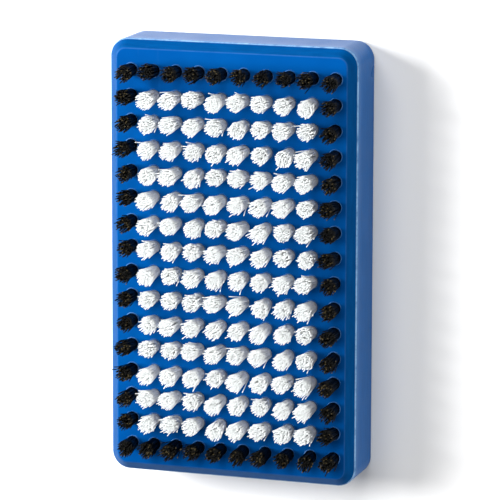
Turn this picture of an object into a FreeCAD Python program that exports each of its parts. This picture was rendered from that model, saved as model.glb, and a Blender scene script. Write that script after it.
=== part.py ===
import FreeCAD, Part
import os

import Sketcher
from FreeCAD import Vector

# A rectangular hand brush: a plastic block with a chamfered working face, set with rows
# of bristle tufts. Each tuft is a bundle of filaments folded over a short flat wire, which
# is driven into a blind hole and bites into the hole's wall.
#
# The brush lies on its back with the bristles up. The origin is in the middle of the back
# face, +X runs across the short side, +Y along the long side and +Z out through the tufts.
# Rows run along X and are numbered from the +Y end. Columns run along Y.

SIZES = [
    # name, millimetres (or degrees, or a count), what it is
    ("BlockWidth", 70.0, "block, side to side"),
    ("BlockLength", 120.0, "block, end to end"),
    ("BlockThickness", 18.0, "block, back to working face"),
    ("CornerRadius", 5.0, "upright corners of the block"),
    ("FaceChamfer", 2.5, "chamfer round the working face"),
    ("ShoulderRadius", 1.2, "rounding where the chamfer meets the side wall"),
    ("FaceEdgeRadius", 0.8, "rounding where the chamfer meets the working face"),
    ("BackEdgeRadius", 0.8, "rounding round the back"),
    ("TuftColumns", 10, "tufts in a row"),
    ("TuftRows", 16, "rows"),
    ("BorderAcross", 6.2, "side of the block to the first column's axis"),
    ("BorderAlong", 8.25, "end of the block to the first row's axis"),
    ("GridOffset", 0.6, "middle of the block to the middle of the columns"),
    ("HoleDiameter", 3.4, "blind hole for a tuft"),
    ("HoleDepth", 9.0, "working face to the end of the hole's full diameter"),
    ("DrillPointAngle", 118.0, "cone at the bottom of the hole"),
    ("MouthChamfer", 0.15, "broken edge at the mouth of the hole"),
    ("MouthAngle", 90.0, "the broken edge's cone"),
    ("TuftClearance", 0.05, "between the folded tuft and the hole, all round"),
    ("TuftLength", 7.5, "working face to the bristle tips"),
    ("TipDiameter", 4.8, "tuft at the tips, where it spreads"),
    ("TipRounding", 0.5, "uneven trim round the tips"),
    ("AnchorBite", 0.25, "flat wire's reach into the hole's wall, at each end"),
    ("AnchorWidth", 1.6, "flat wire, along the hole"),
    ("AnchorGauge", 0.35, "flat wire, thickness"),
    ("FoldDepth", 0.7, "filaments under the wire, above the hole's full-diameter end"),
]

# First tuft axis to last, and from one tuft axis to the next.
SPAN_ACROSS = "(Sizes.BlockWidth - 2 * Sizes.BorderAcross)"
SPAN_ALONG = "(Sizes.BlockLength - 2 * Sizes.BorderAlong)"
PITCH_ACROSS = f"{SPAN_ACROSS} / (Sizes.TuftColumns - 1)"
PITCH_ALONG = f"{SPAN_ALONG} / (Sizes.TuftRows - 1)"
FIRST_COLUMN = "Sizes.BorderAcross - Sizes.BlockWidth / 2 + Sizes.GridOffset"
FIRST_ROW = "Sizes.BlockLength / 2 - Sizes.BorderAlong"

ANCHOR_LENGTH = "(Sizes.HoleDiameter + 2 * Sizes.AnchorBite)"

# Heights along a tuft's axis, measured from the working face.
ANCHOR_TOP = "Sizes.AnchorWidth + Sizes.FoldDepth - Sizes.HoleDepth"
POINT_DEPTH = "Sizes.HoleDiameter / 2 / tan(Sizes.DrillPointAngle / 2)"

# How close two coordinates are when they count as the same, in millimetres.
SAME = 1e-6

DOC = FreeCAD.newDocument("BlockBrush")


def make_sheet():
    """The spreadsheet that every size and place below is bound to."""
    sheet = DOC.addObject("Spreadsheet::Sheet", "Sizes")
    for row, (name, value, note) in enumerate(SIZES, start=1):
        sheet.set(f"A{row}", name)
        sheet.set(f"B{row}", str(value))
        sheet.setAlias(f"B{row}", name)
        sheet.set(f"C{row}", note)
    DOC.recompute()
    return sheet


def new_body(label):
    body = DOC.addObject("PartDesign::Body", label)
    body.Label = label
    return body


def origin_feature(body, role):
    """One of the body's own base planes or axes, such as XY_Plane or X_Axis."""
    return next(item for item in body.Origin.OriginFeatures if item.Role == role)


def new_sketch(body, name, plane, height=None):
    """A sketch on one of the body's base planes, or at an expression's height above it."""
    sketch = body.newObject("Sketcher::SketchObject", name)
    sketch.AttachmentSupport = (origin_feature(body, plane), [""])
    sketch.MapMode = "FlatFace"
    if height:
        sketch.setExpression(".AttachmentOffset.Base.z", height)
    return sketch


def evaluate(thing, expression):
    """An expression's value in millimetres, as a plain number."""
    value = thing.evalExpression(expression)
    return float(getattr(value, "Value", value))


def bind_point(sketch, edge, expressions):
    """Ties an edge's start point to two expressions, along the sketch's own axes."""
    for kind, expression in zip(("DistanceX", "DistanceY"), expressions):
        at = sketch.addConstraint(Sketcher.Constraint(kind, -1, 1, edge, 1, 0.0))
        sketch.setExpression(f"Constraints[{at}]", expression)


def draw_outline(sketch, corners):
    """A closed outline of straight edges. Each corner is a pair of expressions."""
    places = [Vector(*(evaluate(sketch, part) for part in corner), 0) for corner in corners]
    count = len(places)
    for edge in range(count):
        line = Part.LineSegment(places[edge], places[(edge + 1) % count])
        sketch.addGeometry(line, False)
    for edge in range(count):
        following = (edge + 1) % count
        sketch.addConstraint(Sketcher.Constraint("Coincident", edge, 2, following, 1))
    for edge, corner in enumerate(corners):
        bind_point(sketch, edge, corner)


def draw_rectangle(sketch, middle, across, along):
    """A rectangle about a middle point, all given as expressions."""
    middle_x, middle_y = middle
    signs = [("-", "-"), ("+", "-"), ("+", "+"), ("-", "+")]
    corners = [
        (f"{middle_x} {side} ({across}) / 2", f"{middle_y} {end} ({along}) / 2")
        for side, end in signs
    ]
    draw_outline(sketch, corners)


def finish_feature(body, feature, removes=False):
    """Recomputes a new feature and stops if one that should cut took nothing away."""
    body.Tip = feature
    DOC.recompute()
    if removes and feature.Shape.Volume >= feature.BaseFeature.Shape.Volume:
        raise RuntimeError(f"{body.Label}: {feature.Name} removed nothing")


def pad(body, name, sketch, length, downwards=False):
    feature = body.newObject("PartDesign::Pad", name)
    feature.Profile = sketch
    feature.Reversed = downwards
    feature.setExpression("Length", length)
    finish_feature(body, feature)
    return feature


def pocket(body, name, sketch, length):
    """A pocket that goes down from its sketch."""
    feature = body.newObject("PartDesign::Pocket", name)
    feature.Profile = sketch
    feature.setExpression("Length", length)
    finish_feature(body, feature, removes=True)
    return feature


def dress(body, kind, name, size_name, size, chosen):
    """A fillet or chamfer on every edge of the body for which chosen(edge) holds."""
    base = body.Tip
    names = [f"Edge{n}" for n, edge in enumerate(base.Shape.Edges, start=1) if chosen(edge)]
    feature = body.newObject(f"PartDesign::{kind}", name)
    feature.Base = (base, names)
    feature.setExpression(size_name, size)
    finish_feature(body, feature, removes=True)
    return feature


def repeat(body, name, axis, count, span, originals=()):
    """A row along one base axis, of the named features or else of the whole body."""
    feature = body.newObject("PartDesign::LinearPattern", name)
    if originals:
        feature.Originals = list(originals)
    else:
        feature.TransformMode = "Whole shape"
    feature.Direction = (origin_feature(body, axis), [""])
    feature.Mode = "Extent"
    feature.setExpression("Length", span)
    feature.setExpression("Occurrences", count)
    return feature


def upright(edge):
    start, end = (vertex.Point for vertex in edge.Vertexes)
    return abs(start.x - end.x) + abs(start.y - end.y) < SAME


def at_height(level):
    """Chooses the edges that lie flat at one height."""

    def chosen(edge):
        box = edge.BoundBox
        return abs(box.ZMin - level) < SAME and abs(box.ZMax - level) < SAME

    return chosen


def make_block(sheet):
    """The block: a rounded slab, chamfered round its working face, with the holes."""
    body = new_body("brush_block")
    outline = new_sketch(body, "Outline", "XY_Plane")
    draw_rectangle(outline, ("0", "0"), "Sizes.BlockWidth", "Sizes.BlockLength")
    pad(body, "Slab", outline, "Sizes.BlockThickness")

    face = sheet.BlockThickness
    shoulder = face - sheet.FaceChamfer
    dress(body, "Fillet", "Corners", "Radius", "Sizes.CornerRadius", upright)
    dress(body, "Chamfer", "FaceChamfer", "Size", "Sizes.FaceChamfer", at_height(face))
    dress(body, "Fillet", "Shoulder", "Radius", "Sizes.ShoulderRadius", at_height(shoulder))
    dress(body, "Fillet", "FaceEdge", "Radius", "Sizes.FaceEdgeRadius", at_height(face))
    dress(body, "Fillet", "BackEdge", "Radius", "Sizes.BackEdgeRadius", at_height(0.0))

    undrilled = body.Tip.Shape.Volume
    hole = drill_hole(body)
    bite = cut_bite(body)
    one_hole = undrilled - body.Tip.Shape.Volume
    grid = repeat(body, "HoleGrid", "X_Axis", "Sizes.TuftColumns", SPAN_ACROSS, [hole, bite])
    grid.Direction2 = (origin_feature(body, "Y_Axis"), [""])
    grid.Reversed2 = True
    grid.Mode2 = "Extent"
    grid.setExpression("Length2", SPAN_ALONG)
    grid.setExpression("Occurrences2", "Sizes.TuftRows")
    finish_feature(body, grid, removes=True)
    drilled = (undrilled - body.Tip.Shape.Volume) / one_hole
    if round(drilled, 2) != sheet.TuftColumns * sheet.TuftRows:
        raise RuntimeError(f"the block has {drilled:.2f} holes")


def drill_hole(body):
    """The first tuft's blind hole, with a drilled point and a broken edge at its mouth."""
    centre = new_sketch(body, "HoleCentre", "XY_Plane", "Sizes.BlockThickness")
    place = Vector(evaluate(centre, FIRST_COLUMN), evaluate(centre, FIRST_ROW), 0)
    radius = evaluate(centre, "Sizes.HoleDiameter / 2")
    centre.addGeometry(Part.Circle(place, Vector(0, 0, 1), radius), False)
    for kind, expression in (("DistanceX", FIRST_COLUMN), ("DistanceY", FIRST_ROW)):
        at = centre.addConstraint(Sketcher.Constraint(kind, -1, 1, 0, 3, 0.0))
        centre.setExpression(f"Constraints[{at}]", expression)
    at = centre.addConstraint(Sketcher.Constraint("Diameter", 0, 2 * radius))
    centre.setExpression(f"Constraints[{at}]", "Sizes.HoleDiameter")
    DOC.recompute()

    hole = body.newObject("PartDesign::Hole", "TuftHole")
    hole.Profile = centre
    hole.ThreadType = "None"
    hole.DepthType = "Dimension"
    hole.DrillPoint = "Angled"
    hole.DrillForDepth = False
    hole.setExpression("Diameter", "Sizes.HoleDiameter")
    hole.setExpression("Depth", "Sizes.HoleDepth")
    hole.setExpression("DrillPointAngle", "Sizes.DrillPointAngle")
    hole.HoleCutType = "Countersink"
    hole.HoleCutCustomValues = True
    hole.setExpression("HoleCutDiameter", "Sizes.HoleDiameter + 2 * Sizes.MouthChamfer")
    hole.setExpression("HoleCutCountersinkAngle", "Sizes.MouthAngle")
    finish_feature(body, hole, removes=True)
    return hole


def cut_bite(body):
    """The two nicks in the first hole's wall that its wire anchor sits in."""
    level = f"Sizes.BlockThickness + {ANCHOR_TOP}"
    sketch = new_sketch(body, "BiteOutline", "XY_Plane", level)
    middle = (FIRST_COLUMN, FIRST_ROW)
    draw_rectangle(sketch, middle, ANCHOR_LENGTH, "Sizes.AnchorGauge")
    return pocket(body, "AnchorBite", sketch, "Sizes.AnchorWidth")


def place_body(body, column, row):
    """Puts a body's first tuft axis at a column and row, both counted from zero."""
    body.setExpression(".Placement.Base.x", f"{FIRST_COLUMN} + {column} * {PITCH_ACROSS}")
    body.setExpression(".Placement.Base.y", f"{FIRST_ROW} - {row} * {PITCH_ALONG}")
    body.setExpression(".Placement.Base.z", "Sizes.BlockThickness")


def make_tufts(label, column, row, axis, count, span):
    """A line of tufts, each a folded bundle in its hole that spreads above the face."""
    body = new_body(label)
    radius = "Sizes.HoleDiameter / 2 - Sizes.TuftClearance"
    tip = "Sizes.TipDiameter / 2"
    lowest = f"Sizes.TuftClearance - Sizes.HoleDepth - {POINT_DEPTH}"
    profile = new_sketch(body, "Profile", "XZ_Plane")
    corners = [
        ("0", lowest),
        (radius, f"{lowest} + ({radius}) / tan(Sizes.DrillPointAngle / 2)"),
        (radius, "0"),
        (tip, "Sizes.TuftLength - Sizes.TipRounding"),
        (f"{tip} - Sizes.TipRounding", "Sizes.TuftLength"),
        ("0", "Sizes.TuftLength"),
    ]
    draw_outline(profile, corners)
    bundle = body.newObject("PartDesign::Revolution", "Bundle")
    bundle.Profile = profile
    bundle.ReferenceAxis = (profile, ["V_Axis"])
    bundle.Angle = 360.0
    finish_feature(body, bundle)

    slot = new_sketch(body, "AnchorSlotOutline", "XY_Plane", ANCHOR_TOP)
    draw_rectangle(slot, ("0", "0"), ANCHOR_LENGTH, "Sizes.AnchorGauge")
    pocket(body, "AnchorSlot", slot, "Sizes.AnchorWidth")
    line = repeat(body, "Line", axis, count, span)
    line.Reversed = axis == "Y_Axis"
    finish_feature(body, line)
    place_body(body, column, row)


def make_anchors(label, row):
    """A row of flat wire anchors, each across the fold of its tuft."""
    body = new_body(label)
    outline = new_sketch(body, "WireOutline", "XY_Plane", ANCHOR_TOP)
    draw_rectangle(outline, ("0", "0"), ANCHOR_LENGTH, "Sizes.AnchorGauge")
    pad(body, "Wire", outline, "Sizes.AnchorWidth", downwards=True)
    line = repeat(body, "Line", "X_Axis", "Sizes.TuftColumns", SPAN_ACROSS)
    finish_feature(body, line)
    place_body(body, 0, row)


def check_document():
    """Stops if any object failed, and returns the bodies with their finished shapes."""
    DOC.recompute()
    for item in DOC.Objects:
        if "Invalid" in item.State or "Error" in item.State:
            raise RuntimeError(f"{item.Label} failed: {item.State}")
    bodies = [item for item in DOC.Objects if item.TypeId == "PartDesign::Body"]
    for body in bodies:
        if body.Shape.isNull() or not body.Shape.isValid():
            raise RuntimeError(f"{body.Label} has no valid shape")
    return bodies


sheet = make_sheet()
rows = int(sheet.TuftRows)
columns = int(sheet.TuftColumns)

make_block(sheet)
whole_row = ("X_Axis", "Sizes.TuftColumns", SPAN_ACROSS)
inner_row = ("X_Axis", "Sizes.TuftColumns - 2", f"{SPAN_ACROSS} - 2 * {PITCH_ACROSS}")
inner_column = ("Y_Axis", "Sizes.TuftRows - 2", f"{SPAN_ALONG} - 2 * {PITCH_ALONG}")
for row in range(1, rows - 1):
    make_tufts(f"white_tufts_row_{row + 1:02d}", 1, row, *inner_row)
make_tufts("black_tufts_top_row", 0, 0, *whole_row)
make_tufts("black_tufts_bottom_row", 0, rows - 1, *whole_row)
make_tufts("black_tufts_left_column", 0, 1, *inner_column)
make_tufts("black_tufts_right_column", columns - 1, 1, *inner_column)
for row in range(rows):
    make_anchors(f"anchors_row_{row + 1:02d}", row)

os.makedirs("parts", exist_ok=True)
for body in check_document():
    body.Shape.exportStep(f"parts/{body.Label}.step")
    solids = len(body.Shape.Solids)
    print(f"{body.Label}: {solids} solids, {body.Shape.Volume:.2f} mm3")
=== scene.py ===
import math

import bpy
from mathutils import Matrix, Vector


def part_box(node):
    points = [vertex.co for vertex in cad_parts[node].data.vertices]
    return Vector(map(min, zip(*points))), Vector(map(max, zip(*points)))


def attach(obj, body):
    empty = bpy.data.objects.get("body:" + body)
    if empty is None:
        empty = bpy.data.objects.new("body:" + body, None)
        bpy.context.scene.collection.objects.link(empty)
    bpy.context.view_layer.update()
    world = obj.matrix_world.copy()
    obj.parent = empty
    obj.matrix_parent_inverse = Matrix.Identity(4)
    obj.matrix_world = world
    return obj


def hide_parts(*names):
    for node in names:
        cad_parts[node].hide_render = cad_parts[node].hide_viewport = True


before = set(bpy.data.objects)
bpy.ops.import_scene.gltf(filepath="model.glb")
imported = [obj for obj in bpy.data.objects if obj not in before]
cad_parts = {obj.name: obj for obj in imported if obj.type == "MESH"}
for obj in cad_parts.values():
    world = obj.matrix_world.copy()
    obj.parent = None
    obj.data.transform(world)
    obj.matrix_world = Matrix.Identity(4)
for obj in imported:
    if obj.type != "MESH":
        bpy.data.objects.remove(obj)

# Sizes are in metres, in the frame of the part: X across the block, Y along it, Z up out of the brush face.

MM = 0.001
FULL_TURN = 2.0 * math.pi
GOLDEN_ANGLE = math.pi * (3.0 - math.sqrt(5.0))

COLUMNS = 10
ROWS = 16
HOLE_RADIUS = 1.7 * MM
MOUTH_CHAMFER = 0.15 * MM
FACE_BEVEL = 2.5 * MM

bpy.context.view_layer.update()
BLOCK_LOW, BLOCK_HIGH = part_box("brush_block")
FACE_HEIGHT = BLOCK_HIGH.z
SHOULDER_HEIGHT = FACE_HEIGHT - FACE_BEVEL
ANCHOR_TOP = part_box("anchors_row_01")[1].z

# Each bristle is a rod of this many lengths, of which the first is hidden in the hole.
ROD_LENGTHS = 4
HIDDEN_SHARE = 1.0 / ROD_LENGTHS

# The draws within a piece add 1 to 9 to its seed, so pieces whose seeds are this far apart share none.
SEED_STEP = 20


# Node trees

class Wiring:
    """Adds nodes to one tree, wires each as it is added, and lays them out from left to right."""

    def __init__(self, tree):
        self.tree = tree
        self.columns = {}
        self.filled = {}

    def add(self, kind, wires=None, **settings):
        """One node. wires maps the names of its inputs to a value or to another node's output."""
        node = self.tree.nodes.new(kind)
        for name, value in settings.items():
            setattr(node, name, value)
        column = self.feed(node, wires or {})
        row = self.filled.get(column, 0)
        node.location = (column * 220, -row * 180)
        self.columns[node.name] = column
        self.filled[column] = row + 1
        return node

    def feed(self, node, wires):
        """Sets or wires the inputs of a node. Returns the first column to the right of what feeds it."""
        column = 0
        for name, value in wires.items():
            socket = pick(node.inputs, name)
            if isinstance(value, bpy.types.NodeSocket):
                self.tree.links.new(value, socket)
                column = max(column, self.columns.get(value.node.name, 0) + 1)
            else:
                socket.default_value = value
        return column

    def out(self, kind, wires=None, output=0, **settings):
        """The named or numbered output of one new node."""
        return pick(self.add(kind, wires, **settings).outputs, output)

    def number(self, operation, *values, clamp=False):
        """One step of arithmetic on numbers."""
        return self.out("ShaderNodeMath", dict(enumerate(values)), operation=operation, use_clamp=clamp)

    def vector(self, operation, *values):
        """One step of arithmetic on vectors."""
        return self.out("ShaderNodeVectorMath", dict(enumerate(values)), operation=operation)

    def scaled(self, value, factor):
        """A vector or a colour times a number."""
        return self.out("ShaderNodeVectorMath", {0: value, "Scale": factor}, operation="SCALE")

    def height_of(self, value):
        """The Z part of a vector."""
        return self.add("ShaderNodeSeparateXYZ", {"Vector": value}).outputs["Z"]

    def remap(self, value, low, high, bottom=0.0, top=1.0):
        """A value between low and high, held there and moved to between bottom and top."""
        wires = {"Value": value, "From Min": low, "From Max": high, "To Min": bottom, "To Max": top}
        return self.out("ShaderNodeMapRange", wires, "Result")

    def noise(self, where, scale, detail=2.0, roughness=0.5, distortion=0.0):
        """Soft random mottle from 0 to 1."""
        wires = {
            "Vector": where,
            "Scale": scale,
            "Detail": detail,
            "Roughness": roughness,
            "Distortion": distortion,
        }
        return self.out("ShaderNodeTexNoise", wires, "Fac")

    def mix(self, factor, first, second):
        """The first colour where the factor is 0, and the second where it is 1."""
        wires = {"Factor": factor, "A": first, "B": second}
        return self.out("ShaderNodeMix", wires, "Result", data_type="RGBA")

    def ramp(self, factor, *stops):
        """Colours set at places along the factor, given from the lowest to the highest."""
        node = self.add("ShaderNodeValToRGB", {"Fac": factor})
        elements = node.color_ramp.elements
        for element, (position, color) in zip(elements, (stops[0], stops[-1])):
            element.position = position
            element.color = color
        for position, color in stops[1:-1]:
            elements.new(position).color = color
        return node.outputs["Color"]

    def bump(self, height, strength, distance):
        """The normal of a surface with that fine relief."""
        wires = {"Strength": strength, "Distance": distance, "Height": height}
        return self.out("ShaderNodeBump", wires, "Normal")

    def slope(self):
        """How far a face leans: 0 on an upright wall and 1 on a level face."""
        facing = self.out("ShaderNodeNewGeometry", None, "Normal")
        return self.number("ABSOLUTE", self.height_of(facing))

    def group(self, tree, wires):
        """The outputs of one use of a shader group, with its own values."""
        return self.add("ShaderNodeGroup", wires, node_tree=tree).outputs


def pick(sockets, name):
    """The socket at that place, or the one in use that has that name."""
    if isinstance(name, int):
        return sockets[name]
    return next(socket for socket in sockets if socket.name == name and socket.enabled)


def open_sockets(tree, inputs, outputs):
    """Gives a tree its inputs, with defaults, and its outputs. Returns the identifiers of the inputs."""
    identifiers = {}
    for name, kind, default in inputs:
        socket = tree.interface.new_socket(name=name, in_out="INPUT", socket_type=kind)
        if default is not None:
            socket.default_value = default
        identifiers[name] = socket.identifier
    for name, kind in outputs:
        tree.interface.new_socket(name=name, in_out="OUTPUT", socket_type=kind)
    return identifiers


# Bristle tufts

def bristle_tree():
    """Geometry nodes that stand a splayed bundle of bristles on each point, which lies on the brush face."""
    tree = bpy.data.node_groups.new("bristle tufts", "GeometryNodeTree")
    inputs = [
        ("Tuft Points", "NodeSocketGeometry", None),
        ("Bristles", "NodeSocketInt", 90),
        ("Root Radius", "NodeSocketFloat", 1.5 * MM),
        ("Tip Radius", "NodeSocketFloat", 2.2 * MM),
        ("Free Length", "NodeSocketFloat", 7.5 * MM),
        ("Hidden Length", "NodeSocketFloat", 6.7 * MM),
        ("Bristle Radius", "NodeSocketFloat", 0.15 * MM),
        ("Tuft Lean", "NodeSocketFloat", 0.5 * MM),
        ("Tip Scatter", "NodeSocketFloat", 0.25 * MM),
        ("Bow", "NodeSocketFloat", 0.15 * MM),
        ("Bend Power", "NodeSocketFloat", 1.15),
        ("Stray Share", "NodeSocketFloat", 0.10),
        ("Stray Reach", "NodeSocketFloat", 1.0 * MM),
        ("Trim", "NodeSocketFloat", 0.25 * MM),
        ("Seed", "NodeSocketInt", 0),
        ("Material", "NodeSocketMaterial", None),
    ]
    identifiers = open_sockets(tree, inputs, [("Bristles", "NodeSocketGeometry")])
    w = Wiring(tree)
    given = w.add("NodeGroupInput").outputs

    def chance(salt, low, high, each):
        seed = w.number("ADD", given["Seed"], salt)
        wires = {"Min": low, "Max": high, "ID": each, "Seed": seed}
        return w.out("FunctionNodeRandomValue", wires, "Value", data_type="FLOAT")

    def shift(salt, reach, each):
        low = (-1.0, -1.0, 0.0)
        high = (1.0, 1.0, 0.0)
        seed = w.number("ADD", given["Seed"], salt)
        wires = {"Min": low, "Max": high, "ID": each, "Seed": seed}
        spot = w.out("FunctionNodeRandomValue", wires, "Value", data_type="FLOAT_VECTOR")
        return w.scaled(spot, reach)

    def store(geometry, name, kind, value, domain="POINT"):
        wires = {"Geometry": geometry, "Name": name, "Value": value}
        return w.out("GeometryNodeStoreNamedAttribute", wires, "Geometry", data_type=kind, domain=domain)

    def named(name, kind="FLOAT"):
        return w.out("GeometryNodeInputNamedAttribute", {"Name": name}, "Attribute", data_type=kind)

    def on_circle(angle, radius):
        x = w.number("MULTIPLY", w.number("COSINE", angle), radius)
        y = w.number("MULTIPLY", w.number("SINE", angle), radius)
        return w.out("ShaderNodeCombineXYZ", {"X": x, "Y": y})

    # One point for each bristle, packed in a sunflower pattern round its tuft's axis.
    index = w.out("GeometryNodeInputIndex")
    points = store(given["Tuft Points"], "path_tuft", "INT", index)
    points = store(points, "path_axis", "FLOAT_VECTOR", w.out("GeometryNodeInputPosition"))
    bundle = w.add(
        "GeometryNodeDuplicateElements",
        {"Geometry": points, "Amount": given["Bristles"]},
        domain="POINT",
    )
    tuft = named("path_tuft", "INT")
    share = w.number("DIVIDE", w.number("ADD", bundle.outputs["Duplicate Index"], 0.5), given["Bristles"])
    ring = w.number("SQRT", share)
    turn = w.number("MULTIPLY", bundle.outputs["Duplicate Index"], GOLDEN_ANGLE)
    angle = w.number("ADD", turn, chance(1, 0.0, FULL_TURN, tuft))
    root = on_circle(angle, w.number("MULTIPLY", ring, given["Root Radius"]))
    tip = on_circle(angle, w.number("MULTIPLY", ring, given["Tip Radius"]))
    tip = w.vector("ADD", tip, shift(2, given["Tuft Lean"], tuft))
    tip = w.vector("ADD", tip, shift(3, given["Tip Scatter"], index))
    is_stray = w.number("LESS_THAN", chance(4, 0.0, 1.0, index), given["Stray Share"])
    stray = shift(5, w.number("MULTIPLY", is_stray, given["Stray Reach"]), index)
    tip = w.vector("ADD", tip, stray)
    cut = w.number("MULTIPLY", given["Trim"], chance(6, 0.0, 1.0, index))
    bristles = store(bundle.outputs["Geometry"], "path_root", "FLOAT_VECTOR", root)
    bristles = store(bristles, "path_tip", "FLOAT_VECTOR", tip)
    bristles = store(bristles, "path_bow", "FLOAT_VECTOR", shift(7, given["Bow"], index))
    bristles = store(bristles, "path_free", "FLOAT", w.number("SUBTRACT", given["Free Length"], cut))
    bristles = store(bristles, "path_number", "INT", index)
    bristles = store(bristles, "bristle_tone", "FLOAT", chance(8, 0.0, 1.0, index))
    bristles = store(bristles, "tuft_tone", "FLOAT", chance(9, 0.0, 1.0, tuft))

    # One straight bristle of unit size, from 0 to 1 along Z.
    rod = w.add(
        "GeometryNodeMeshCylinder",
        {"Vertices": 5, "Side Segments": ROD_LENGTHS, "Radius": 1.0, "Depth": 1.0},
        fill_type="NGON",
    )
    rod_smooth = w.out(
        "GeometryNodeSetShadeSmooth",
        {"Geometry": rod.outputs["Mesh"], "Selection": rod.outputs["Side"], "Shade Smooth": True},
    )
    here = w.add("ShaderNodeSeparateXYZ", {"Vector": w.out("GeometryNodeInputPosition")}).outputs
    along = w.number("ADD", here["Z"], 0.5)
    outline = w.out("ShaderNodeCombineXYZ", {"X": here["X"], "Y": here["Y"]})
    unit = store(rod_smooth, "along", "FLOAT", along)
    unit = store(unit, "path_outline", "FLOAT_VECTOR", outline)
    unit = store(unit, "path_map", "FLOAT2", rod.outputs["UV Map"], "CORNER")

    placed = w.out("GeometryNodeInstanceOnPoints", {"Points": bristles, "Instance": unit})
    meshed = w.out("GeometryNodeRealizeInstances", {"Geometry": placed})

    # Each bristle is straight in its hole, and bends from the brush face out to its tip.
    along = named("along")
    sunk = w.number("DIVIDE", along, HIDDEN_SHARE, clamp=True)
    above = w.number("SUBTRACT", along, HIDDEN_SHARE)
    out_of_hole = w.number("DIVIDE", above, 1.0 - HIDDEN_SHARE, clamp=True)
    height = w.number("SUBTRACT", w.number("MULTIPLY", sunk, given["Hidden Length"]), given["Hidden Length"])
    height = w.number("ADD", height, w.number("MULTIPLY", out_of_hole, named("path_free")))
    bend = w.number("POWER", out_of_hole, given["Bend Power"])
    swell = w.number("SINE", w.number("MULTIPLY", out_of_hole, math.pi))
    reach = w.vector("SUBTRACT", named("path_tip", "FLOAT_VECTOR"), named("path_root", "FLOAT_VECTOR"))
    place = w.vector("ADD", named("path_axis", "FLOAT_VECTOR"), named("path_root", "FLOAT_VECTOR"))
    place = w.vector("ADD", place, w.scaled(reach, bend))
    place = w.vector("ADD", place, w.scaled(named("path_bow", "FLOAT_VECTOR"), swell))
    place = w.vector("ADD", place, w.scaled(named("path_outline", "FLOAT_VECTOR"), given["Bristle Radius"]))
    place = w.vector("ADD", place, w.out("ShaderNodeCombineXYZ", {"Z": height}))
    bent = w.out("GeometryNodeSetPosition", {"Geometry": meshed, "Position": place})

    # Each bristle has its own square cell in the map of the piece, with a margin inside the cell.
    margin = 0.1
    inside = 1.0 - 2.0 * margin
    total = w.add("GeometryNodeAttributeDomainSize", {"Geometry": bristles}, component="MESH")
    side = w.number("CEIL", w.number("SQRT", total.outputs["Point Count"]))
    cell = named("path_number", "INT")
    cell_x = w.number("MODULO", cell, side)
    cell_y = w.number("FLOOR", w.number("DIVIDE", cell, side))
    corner = w.out("ShaderNodeCombineXYZ", {"X": cell_x, "Y": cell_y})
    unit_map = named("path_map", "FLOAT_VECTOR")
    inner = w.vector("MULTIPLY_ADD", unit_map, (inside, inside, 0.0), (margin, margin, 0.0))
    spot = w.scaled(w.vector("ADD", corner, inner), w.number("DIVIDE", 1.0, side))
    mapped = store(bent, "OFBake", "FLOAT2", spot, "CORNER")

    cleared = w.out(
        "GeometryNodeRemoveAttribute",
        {"Geometry": mapped, "Name": "path_*"},
        pattern_mode="WILDCARD",
    )
    finished = w.out("GeometryNodeSetMaterial", {"Geometry": cleared, "Material": given["Material"]})
    w.add("NodeGroupOutput", {"Bristles": finished})
    return tree, identifiers


def lip_tree():
    """Geometry nodes that lay a low lip round each hole, tipped a little so that one side stands higher."""
    tree = bpy.data.node_groups.new("hole lips", "GeometryNodeTree")
    inputs = [
        ("Hole Points", "NodeSocketGeometry", None),
        ("Ring Radius", "NodeSocketFloat", HOLE_RADIUS + MOUTH_CHAMFER),
        ("Lip Radius", "NodeSocketFloat", 0.16 * MM),
        ("Tilt", "NodeSocketFloat", math.radians(3.0)),
        ("Seed", "NodeSocketInt", 0),
        ("Material", "NodeSocketMaterial", None),
    ]
    identifiers = open_sockets(tree, inputs, [("Lips", "NodeSocketGeometry")])
    w = Wiring(tree)
    given = w.add("NodeGroupInput").outputs

    def circle(points, radius):
        wires = {"Resolution": points, "Radius": radius}
        return w.out("GeometryNodeCurvePrimitiveCircle", wires, "Curve")

    path = circle(16, given["Ring Radius"])
    bead = circle(4, given["Lip Radius"])
    ring = w.out("GeometryNodeCurveToMesh", {"Curve": path, "Profile Curve": bead}, "Mesh")
    smooth = w.out("GeometryNodeSetShadeSmooth", {"Geometry": ring})
    tilt = w.out("ShaderNodeCombineXYZ", {"X": given["Tilt"], "Y": given["Tilt"], "Z": math.pi})
    back = w.scaled(tilt, -1.0)
    turned = w.out(
        "FunctionNodeRandomValue",
        {"Min": back, "Max": tilt, "Seed": given["Seed"]},
        "Value",
        data_type="FLOAT_VECTOR",
    )
    wires = {"Points": given["Hole Points"], "Instance": smooth, "Rotation": turned}
    placed = w.out("GeometryNodeInstanceOnPoints", wires)
    meshed = w.out("GeometryNodeRealizeInstances", {"Geometry": placed})
    finished = w.out("GeometryNodeSetMaterial", {"Geometry": meshed, "Material": given["Material"]})
    w.add("NodeGroupOutput", {"Lips": finished})
    return tree, identifiers


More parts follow.
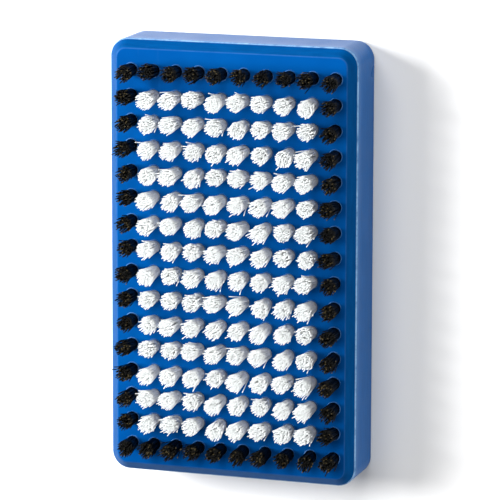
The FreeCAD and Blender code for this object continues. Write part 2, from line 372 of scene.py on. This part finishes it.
def grow(name, tree, identifiers, spots, settings):
    """Runs a tree on a set of points and returns the result as a plain mesh object at the origin."""
    seed_mesh = bpy.data.meshes.new(name + "_points")
    seed_mesh.from_pydata(spots, [], [])
    helper = bpy.data.objects.new(name + "_points", seed_mesh)
    bpy.context.scene.collection.objects.link(helper)
    modifier = helper.modifiers.new(tree.name, "NODES")
    modifier.node_group = tree
    for label, value in settings.items():
        modifier[identifiers[label]] = value
    bpy.context.view_layer.update()
    graph = bpy.context.evaluated_depsgraph_get()
    shape = bpy.data.meshes.new_from_object(
        helper.evaluated_get(graph),
        preserve_all_data_layers=True,
        depsgraph=graph,
    )
    shape.name = name
    helper.modifiers.remove(modifier)
    bpy.data.objects.remove(helper)
    bpy.data.meshes.remove(seed_mesh)
    piece = bpy.data.objects.new(name, shape)
    bpy.context.scene.collection.objects.link(piece)
    return piece


def tuft_spots(node, count):
    """The axes of a CAD node's tufts, where they leave the brush face."""
    low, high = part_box(node)
    across = high.x - low.x
    along = high.y - low.y
    radius = min(across, along) / 2
    first = Vector((low.x + radius, high.y - radius, FACE_HEIGHT))
    last = Vector((high.x - radius, low.y + radius, FACE_HEIGHT))
    return [first.lerp(last, place / (count - 1)) for place in range(count)]


# Shader groups

def shader_group(name, inputs, outputs):
    """An empty shader group with named inputs and outputs, and what is needed to fill it."""
    tree = bpy.data.node_groups.new(name, "ShaderNodeTree")
    open_sockets(tree, inputs, outputs)
    w = Wiring(tree)
    return tree, w, w.add("NodeGroupInput").outputs


def grain_group():
    """Fine all-over texture: a height for bump and a slow mottle for colour and roughness."""
    inputs = [
        ("Vector", "NodeSocketVector", None),
        ("Grain Scale", "NodeSocketFloat", 1800.0),
        ("Mottle Scale", "NodeSocketFloat", 60.0),
        ("Stretch", "NodeSocketVector", (1.0, 1.0, 1.0)),
    ]
    outputs = [("Height", "NodeSocketFloat"), ("Mottle", "NodeSocketFloat")]
    tree, w, given = shader_group("surface grain", inputs, outputs)
    stretched = w.vector("MULTIPLY", given["Vector"], given["Stretch"])
    fine = w.noise(stretched, given["Grain Scale"], detail=3.0, roughness=0.6)
    slow = w.noise(stretched, given["Mottle Scale"])
    w.add("NodeGroupOutput", {"Height": fine, "Mottle": slow})
    return tree


def scratch_group():
    """Thin straight marks from handling, in two directions, broken up so that they come and go."""
    inputs = [
        ("Vector", "NodeSocketVector", None),
        ("Scale", "NodeSocketFloat", 90.0),
        ("Patch Scale", "NodeSocketFloat", 35.0),
        ("Amount", "NodeSocketFloat", 0.5),
    ]
    tree, w, given = shader_group("handling scratches", inputs, [("Mask", "NodeSocketFloat")])
    masks = []
    for turned, stretch in ((0.5, (1.0, 0.03, 1.0)), (2.1, (1.0, 0.05, 1.0))):
        turn = w.out(
            "ShaderNodeMapping",
            {"Vector": given["Vector"], "Rotation": (0.0, 0.3, turned), "Scale": stretch},
        )
        lines = w.noise(turn, given["Scale"], detail=6.0, roughness=0.75, distortion=0.2)
        masks.append(w.remap(lines, 0.64, 0.70))
    both = w.number("MAXIMUM", *masks)
    patches = w.noise(given["Vector"], given["Patch Scale"])
    here = w.remap(patches, 0.45, 0.65, top=given["Amount"])
    w.add("NodeGroupOutput", {"Mask": w.number("MULTIPLY", both, here, clamp=True)})
    return tree


def edge_wear_highlight_group():
    """Rubbed edges and painted highlight: the rounded edges between flats, ragged, and a painted highlight
    fading down the walls from the shoulder.
    """
    inputs = [
        ("Vector", "NodeSocketVector", None),
        ("Amount", "NodeSocketFloat", 0.6),
        ("Raggedness", "NodeSocketFloat", 500.0),
        ("Shoulder Height", "NodeSocketFloat", SHOULDER_HEIGHT),
        ("Fade Depth", "NodeSocketFloat", 5.0 * MM),
        ("Fade Amount", "NodeSocketFloat", 0.2),
    ]
    tree, w, given = shader_group("rubbed edges", inputs, [("Mask", "NodeSocketFloat")])
    slope = w.slope()

    # Full on the shoulder, from the walls to the bevel, and faint on the edge from the bevel to the face:
    # partly wear, partly painted highlight where these rounded edges shine.
    wear_and_highlight_by_slope = (
        (0.10, 0.0),
        (0.30, 1.0),
        (0.58, 1.0),
        (0.68, 0.0),
        (0.74, 0.0),
        (0.84, 0.06),
        (0.95, 0.06),
        (0.995, 0.0),
    )
    wear_and_painted_light = w.ramp(slope, *((place, (level, level, level, 1.0)) for place, level in wear_and_highlight_by_slope))
    ragged = w.noise(given["Vector"], given["Raggedness"], detail=4.0, roughness=0.7)
    line = w.number("MULTIPLY", wear_and_painted_light, w.remap(ragged, 0.18, 0.58, top=given["Amount"]))

    # Painted highlight: a pale band fading down the walls from the shoulder, standing in for the shine of
    # the rounded edge.
    below = w.number("SUBTRACT", given["Shoulder Height"], w.height_of(given["Vector"]))
    drop = w.number("DIVIDE", below, given["Fade Depth"], clamp=True)
    near = w.number("POWER", w.number("SUBTRACT", 1.0, drop), 2.0)
    highlight_fade = w.number("MULTIPLY", near, given["Fade Amount"])
    highlight_fade = w.number("MULTIPLY", highlight_fade, w.number("LESS_THAN", slope, 0.5))
    w.add("NodeGroupOutput", {"Mask": w.number("MAXIMUM", line, highlight_fade)})
    return tree


def bristle_tone_group():
    """Colour of a bristle: root to tip, with each bristle and each tuft a little different."""
    inputs = [
        ("Root Color", "NodeSocketColor", (0.8, 0.8, 0.8, 1.0)),
        ("Shaft Color", "NodeSocketColor", (0.9, 0.9, 0.9, 1.0)),
        ("Tip Color", "NodeSocketColor", (1.0, 1.0, 1.0, 1.0)),
        ("Bristle Variation", "NodeSocketFloat", 0.1),
        ("Tuft Variation", "NodeSocketFloat", 0.05),
        ("Bright Tips", "NodeSocketFloat", 1.0),
        ("Line Scale", "NodeSocketFloat", 9000.0),
        ("Line Stretch", "NodeSocketVector", (1.0, 1.0, 0.06)),
    ]
    outputs = [("Color", "NodeSocketColor"), ("Height", "NodeSocketFloat"), ("Worn Tip", "NodeSocketFloat")]
    tree, w, given = shader_group("bristle tone", inputs, outputs)
    along = w.out("ShaderNodeAttribute", None, "Fac", attribute_name="along")
    own = w.out("ShaderNodeAttribute", None, "Fac", attribute_name="bristle_tone")
    shared = w.out("ShaderNodeAttribute", None, "Fac", attribute_name="tuft_tone")
    rise = w.remap(along, HIDDEN_SHARE, 0.7)
    shaft = w.mix(rise, given["Root Color"], given["Shaft Color"])
    # The tip end: rougher from wear, and for the white bristles given a darker tip colour as painted shade.
    wear_and_painted_light = w.remap(along, 0.9, 1.0)
    chosen = w.number("LESS_THAN", own, given["Bright Tips"])
    tipped = w.mix(w.number("MULTIPLY", wear_and_painted_light, chosen), shaft, given["Tip Color"])
    own_dip = w.number("MULTIPLY", own, given["Bristle Variation"])
    shared_dip = w.number("MULTIPLY", shared, given["Tuft Variation"])
    level = w.number("SUBTRACT", 1.0, w.number("ADD", own_dip, shared_dip), clamp=True)
    toned = w.scaled(tipped, level)
    where = w.out("ShaderNodeTexCoord", None, "Object")
    lines = w.noise(w.vector("MULTIPLY", where, given["Line Stretch"]), given["Line Scale"])
    w.add("NodeGroupOutput", {"Color": toned, "Height": lines, "Worn Tip": wear_and_painted_light})
    return tree


# Materials

def new_material(name, settings):
    """A node material with its Principled BSDF set up. Returns the material, its wiring and the shader."""
    material = bpy.data.materials.new(name)
    material.use_nodes = True
    tree = material.node_tree
    tree.nodes.clear()
    w = Wiring(tree)
    shader = w.add("ShaderNodeBsdfPrincipled", settings)
    w.add("ShaderNodeOutputMaterial", {"Surface": shader.outputs["BSDF"]})
    return material, w, shader


def side_tones_with_painted_light(w, where):
    """The walls and bevel as the cutter left them, with fine streaks running round, in painted light and
    shade: the walls a lighter blue and the bevel a darker blue than the face.
    """
    slope = w.slope()
    drawn = w.vector("MULTIPLY", where, (0.09, 0.09, 1.0))
    streaks = w.noise(drawn, 1500.0, detail=4.0, roughness=0.65)
    # Painted light on the walls, which are lighter than the face; painted shade on the bevel, which is
    # darker than the face.
    walls = w.ramp(streaks, (0.32, (0.0, 0.072, 0.250, 1.0)), (0.68, (0.0, 0.088, 0.310, 1.0)))
    bevel = w.ramp(streaks, (0.32, (0.0, 0.047, 0.176, 1.0)), (0.68, (0.0, 0.061, 0.222, 1.0)))
    return {
        "Mask": w.remap(slope, 0.74, 0.90, 1.0, 0.0),
        "Color": w.mix(w.remap(slope, 0.15, 0.65), walls, bevel),
        "Streaks": streaks,
    }


def block_finish(grain, scratches, edges):
    """Blue plastic with a satin face, faint mottling, handling scratches, and paler edges that are partly
    rubbed wear and partly painted highlight.
    """
    settings = {"IOR": 1.45, "Specular IOR Level": 0.055, "Specular Tint": (0.35, 0.80, 0.80, 1.0)}
    material, w, shader = new_material("block_plastic_finish", settings)
    where = w.out("ShaderNodeTexCoord", None, "Object")
    texture = w.group(grain, {"Vector": where, "Grain Scale": 2600.0, "Mottle Scale": 70.0})
    marks = w.group(scratches, {"Vector": where, "Scale": 110.0, "Amount": 0.5})
    edge_wear_and_highlight = w.group(edges, {"Vector": where, "Amount": 0.9, "Raggedness": 420.0})
    sides = side_tones_with_painted_light(w, where)

    face = w.ramp(texture["Mottle"], (0.30, (0.0, 0.055, 0.232, 1.0)), (0.70, (0.0, 0.066, 0.266, 1.0)))
    # The walls and bevel get their painted light and shade here.
    color = w.mix(sides["Mask"], face, sides["Color"])
    # Pale edge colour: partly rubbed wear, partly painted highlight on the shoulder and down the walls.
    color = w.mix(edge_wear_and_highlight["Mask"], color, (0.24, 0.42, 0.66, 1.0))
    color = w.mix(w.number("MULTIPLY", marks["Mask"], 0.35), color, (0.03, 0.14, 0.38, 1.0))

    satin = w.remap(texture["Mottle"], 0.2, 0.8, 0.26, 0.34)
    dulled = w.number("MULTIPLY", marks["Mask"], 0.18)
    roughness = w.number("ADD", satin, dulled, clamp=True)

    relief = w.number("ADD", texture["Height"], w.number("MULTIPLY", marks["Mask"], -0.6))
    relief = w.number("ADD", relief, w.number("MULTIPLY", sides["Streaks"], sides["Mask"]))
    normal = w.bump(relief, 0.25, 0.05 * MM)
    w.feed(shader, {"Base Color": color, "Roughness": roughness, "Normal": normal})
    return material


def bristle_finish(name, tone, tones, settings):
    """Drawn nylon: fine lines along the bristle, its own colours from root to tip, which for the white
    bristles hold painted shade at the tip, and a duller tip that is rougher from wear.
    """
    material, w, shader = new_material(name, settings)
    look = w.group(tone, tones)
    roughness = w.remap(look["Worn Tip"], 0.0, 1.0, 0.38, 0.62)
    normal = w.bump(look["Height"], 0.3, 0.02 * MM)
    w.feed(shader, {"Base Color": look["Color"], "Roughness": roughness, "Normal": normal})
    return material


def wire_finish(grain, scratches):
    """Drawn steel wire, dull and a little stained where it was pressed into the hole."""
    material, w, shader = new_material("anchor_wire_finish", {"Metallic": 1.0})
    where = w.out("ShaderNodeTexCoord", None, "Object")
    wires = {"Vector": where, "Grain Scale": 5000.0, "Mottle Scale": 900.0, "Stretch": (0.1, 1.0, 1.0)}
    texture = w.group(grain, wires)
    marks = w.group(scratches, {"Vector": where, "Scale": 600.0, "Amount": 0.8})
    color = w.ramp(texture["Mottle"], (0.30, (0.36, 0.34, 0.31, 1.0)), (0.65, (0.62, 0.61, 0.59, 1.0)))
    drawn = w.remap(texture["Height"], 0.2, 0.8, 0.28, 0.48)
    roughness = w.number("MAXIMUM", drawn, marks["Mask"], clamp=True)
    normal = w.bump(texture["Height"], 0.3, 0.02 * MM)
    w.feed(shader, {"Base Color": color, "Roughness": roughness, "Normal": normal})
    return material


GRAIN = grain_group()
SCRATCHES = scratch_group()
EDGE_WEAR_HIGHLIGHT = edge_wear_highlight_group()
TONE = bristle_tone_group()

BLOCK_FINISH = block_finish(GRAIN, SCRATCHES, EDGE_WEAR_HIGHLIGHT)
WIRE_FINISH = wire_finish(GRAIN, SCRATCHES)
WHITE_FINISH = bristle_finish(
    "white_bristle_finish",
    TONE,
    {
        "Root Color": (0.99, 0.99, 0.99, 1.0),
        "Shaft Color": (0.98, 0.99, 0.99, 1.0),
        # Painted shade: the tips are greyer than the shaft, to hold down the strong light on the tip ends.
        "Tip Color": (0.77, 0.80, 0.80, 1.0),
        "Bristle Variation": 0.10,
        "Tuft Variation": 0.02,
        "Bright Tips": 1.0,
    },
    {
        "IOR": 1.5,
        "Specular IOR Level": 0.4,
        "Subsurface Weight": 0.3,
        "Subsurface Radius": (1.0, 1.0, 1.0),
        "Subsurface Scale": 0.3 * MM,
    },
)
BLACK_FINISH = bristle_finish(
    "black_bristle_finish",
    TONE,
    {
        "Root Color": (0.001, 0.001, 0.001, 1.0),
        "Shaft Color": (0.003, 0.003, 0.002, 1.0),
        "Tip Color": (0.080, 0.060, 0.026, 1.0),
        "Bristle Variation": 0.5,
        "Tuft Variation": 0.2,
        "Bright Tips": 0.12,
    },
    {"IOR": 1.5, "Specular IOR Level": 0.14},
)


# The pieces that stand for the tufts

TREE, SOCKETS = bristle_tree()

BUNDLES = {
    "white": {
        "Bristles": 165,
        "Bristle Radius": 0.12 * MM,
        "Root Radius": 1.56 * MM,
        "Tip Radius": 2.35 * MM,
    },
    "black": {
        "Bristles": 90,
        "Bristle Radius": 0.14 * MM,
        "Root Radius": 1.55 * MM,
        "Tip Radius": 2.25 * MM,
    },
}

TUFT_NODES = [("black_tufts_top_row", COLUMNS), ("black_tufts_bottom_row", COLUMNS)]
TUFT_NODES += [("black_tufts_left_column", ROWS - 2), ("black_tufts_right_column", ROWS - 2)]
TUFT_NODES += [(f"white_tufts_row_{row:02d}", COLUMNS - 2) for row in range(2, ROWS)]

for seed, (node, count) in enumerate(TUFT_NODES):
    colour = node.split("_")[0]
    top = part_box(node)[1].z
    piece = grow(
        node.replace("tufts", "bristles"),
        TREE,
        SOCKETS,
        tuft_spots(node, count),
        {
            **BUNDLES[colour],
            "Free Length": top - FACE_HEIGHT,
            "Hidden Length": FACE_HEIGHT - ANCHOR_TOP,
            "Seed": seed * SEED_STEP,
            "Material": WHITE_FINISH if colour == "white" else BLACK_FINISH,
        },
    )
    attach(piece, "root")
    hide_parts(node)

hole_spots = [spot for node, count in TUFT_NODES for spot in tuft_spots(node, count)]
LIP_TREE, LIP_SOCKETS = lip_tree()
lips = grow("hole_lips", LIP_TREE, LIP_SOCKETS, hole_spots, {"Seed": 5, "Material": BLOCK_FINISH})
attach(lips, "root")

for name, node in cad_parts.items():
    if name == "brush_block":
        finish = BLOCK_FINISH
    elif name.startswith("anchors"):
        finish = WIRE_FINISH
    else:
        continue
    for holder in node.material_slots:
        holder.material = finish


# Floor, lights and camera

FLOOR_REACH = 3.0
FLOOR_GAP = 0.1 * MM

# Each light's direction from the brush, its distance, its width and height, and its power in watts.
LIGHTS = {
    "key_from_left": ((-0.80, 0.20, 0.58), 0.70, (0.36, 0.36), 12.6),
    "fill_from_top": ((-0.05, 0.62, 0.80), 1.2, (0.8, 0.5), 8.0),
    "strip_from_right": ((1.0, -0.15, 0.08), 0.7, (0.9, 0.12), 1.3),
    "fill_from_right": ((0.62, -0.10, 0.78), 1.2, (0.7, 0.7), 4.0),
}


def softbox(name, direction, distance, size, power, target=(0.0, 0.0, 0.01)):
    """A soft rectangular light that faces the brush from a direction."""
    lamp = bpy.data.lights.new(name, "AREA")
    lamp.shape = "RECTANGLE"
    lamp.size = size[0]
    lamp.size_y = size[1]
    lamp.energy = power
    holder = bpy.data.objects.new(name, lamp)
    bpy.context.scene.collection.objects.link(holder)
    aim = Vector(direction).normalized()
    holder.location = Vector(target) + aim * distance
    holder.rotation_euler = aim.to_track_quat("Z", "Y").to_euler()


def lay_floor():
    """A plain pale floor a hair below the back of the block, so that the two never share a plane."""
    mesh = bpy.data.meshes.new("floor")
    level = BLOCK_LOW.z - FLOOR_GAP
    signs = ((-1, -1), (1, -1), (1, 1), (-1, 1))
    mesh.from_pydata([(x * FLOOR_REACH, y * FLOOR_REACH, level) for x, y in signs], [], [(0, 1, 2, 3)])
    floor = bpy.data.objects.new("floor", mesh)
    bpy.context.scene.collection.objects.link(floor)
    settings = {"Base Color": (0.86, 0.86, 0.86, 1.0), "Roughness": 0.9, "Specular IOR Level": 0.1}
    mesh.materials.append(new_material("floor_paper", settings)[0])


def set_camera():
    """Looks at the brush face from the right and from above."""
    azimuth = math.radians(32.55)
    elevation = math.radians(69.02)
    roll = math.radians(0.15)
    distance = 1.0
    target = Vector((4.8 * MM, 3.7 * MM, 15.5 * MM))
    away = Vector((
        math.cos(elevation) * math.cos(azimuth),
        math.cos(elevation) * math.sin(azimuth),
        math.sin(elevation),
    ))
    sight = bpy.data.cameras.new("camera")
    sight.lens = 266.4
    sight.sensor_width = 36.0
    holder = bpy.data.objects.new("camera", sight)
    bpy.context.scene.collection.objects.link(holder)
    level = Vector((0.0, 1.0, 0.0)).cross(away).normalized()
    plumb = away.cross(level)
    right = level * math.cos(roll) + plumb * math.sin(roll)
    up = plumb * math.cos(roll) - level * math.sin(roll)
    holder.matrix_world = Matrix((right, up, away)).transposed().to_4x4()
    holder.matrix_world.translation = target + away * distance
    bpy.context.scene.camera = holder


lay_floor()
set_camera()
for name, (direction, distance, size, power) in LIGHTS.items():
    softbox(name, direction, distance, size, power)

world = bpy.data.worlds.new("studio")
world.use_nodes = True
backdrop = world.node_tree.nodes["Background"]
backdrop.inputs["Color"].default_value = (1.0, 1.0, 1.0, 1.0)
backdrop.inputs["Strength"].default_value = 0.1
bpy.context.scene.world = world
bpy.context.scene.view_settings.view_transform = "Standard"
